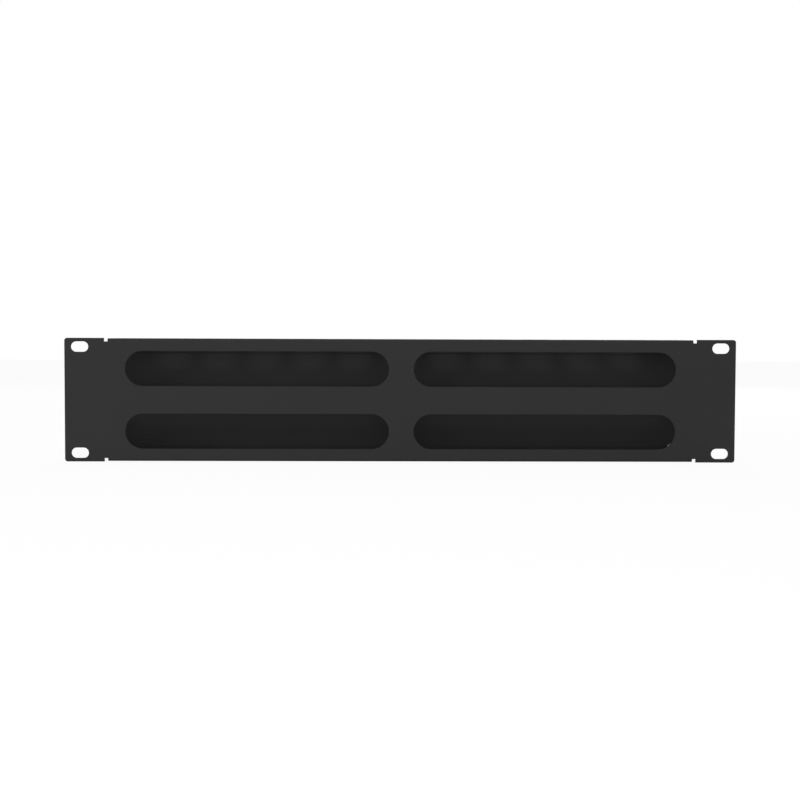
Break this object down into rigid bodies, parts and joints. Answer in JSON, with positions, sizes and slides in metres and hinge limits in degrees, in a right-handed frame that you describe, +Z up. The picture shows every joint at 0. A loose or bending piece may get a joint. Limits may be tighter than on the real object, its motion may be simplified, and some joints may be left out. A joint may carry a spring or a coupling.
{
  "type": "horizontal cable manager",
  "caption": "Folded steel cable duct behind a two-unit rack panel with obround windows, a row of openings along its top, open ends and a screwed rear plate.",
  "frame": {"origin": "centre of the rack slot pattern, on the rack mounting plane, which is the rear face of the ears", "axes": "+X to the right seen from the front, +Y back into the rack, away from the panel's front face, +Z up"},
  "size_m": [0.4826, 0.0548, 0.0886],
  "materials": {
    "powder_coat": "matt black powder coat with a very fine texture",
    "zinc_plate": "bright zinc plate",
    "black_zinc": "black zinc plate, satin"
  },
  "bodies": {
    "root": {"front_panel": "powder_coat", "rear_plate": "powder_coat", "clinch_nut_1": "zinc_plate", "clinch_nut_2": "zinc_plate", "clinch_nut_3": "zinc_plate", "clinch_nut_4": "zinc_plate", "clinch_nut_5": "zinc_plate", "clinch_nut_6": "zinc_plate", "cover_screw_1": "black_zinc", "cover_screw_2": "black_zinc", "cover_screw_3": "black_zinc", "cover_screw_4": "black_zinc", "cover_screw_5": "black_zinc", "cover_screw_6": "black_zinc"}
  },
  "joints": []
}
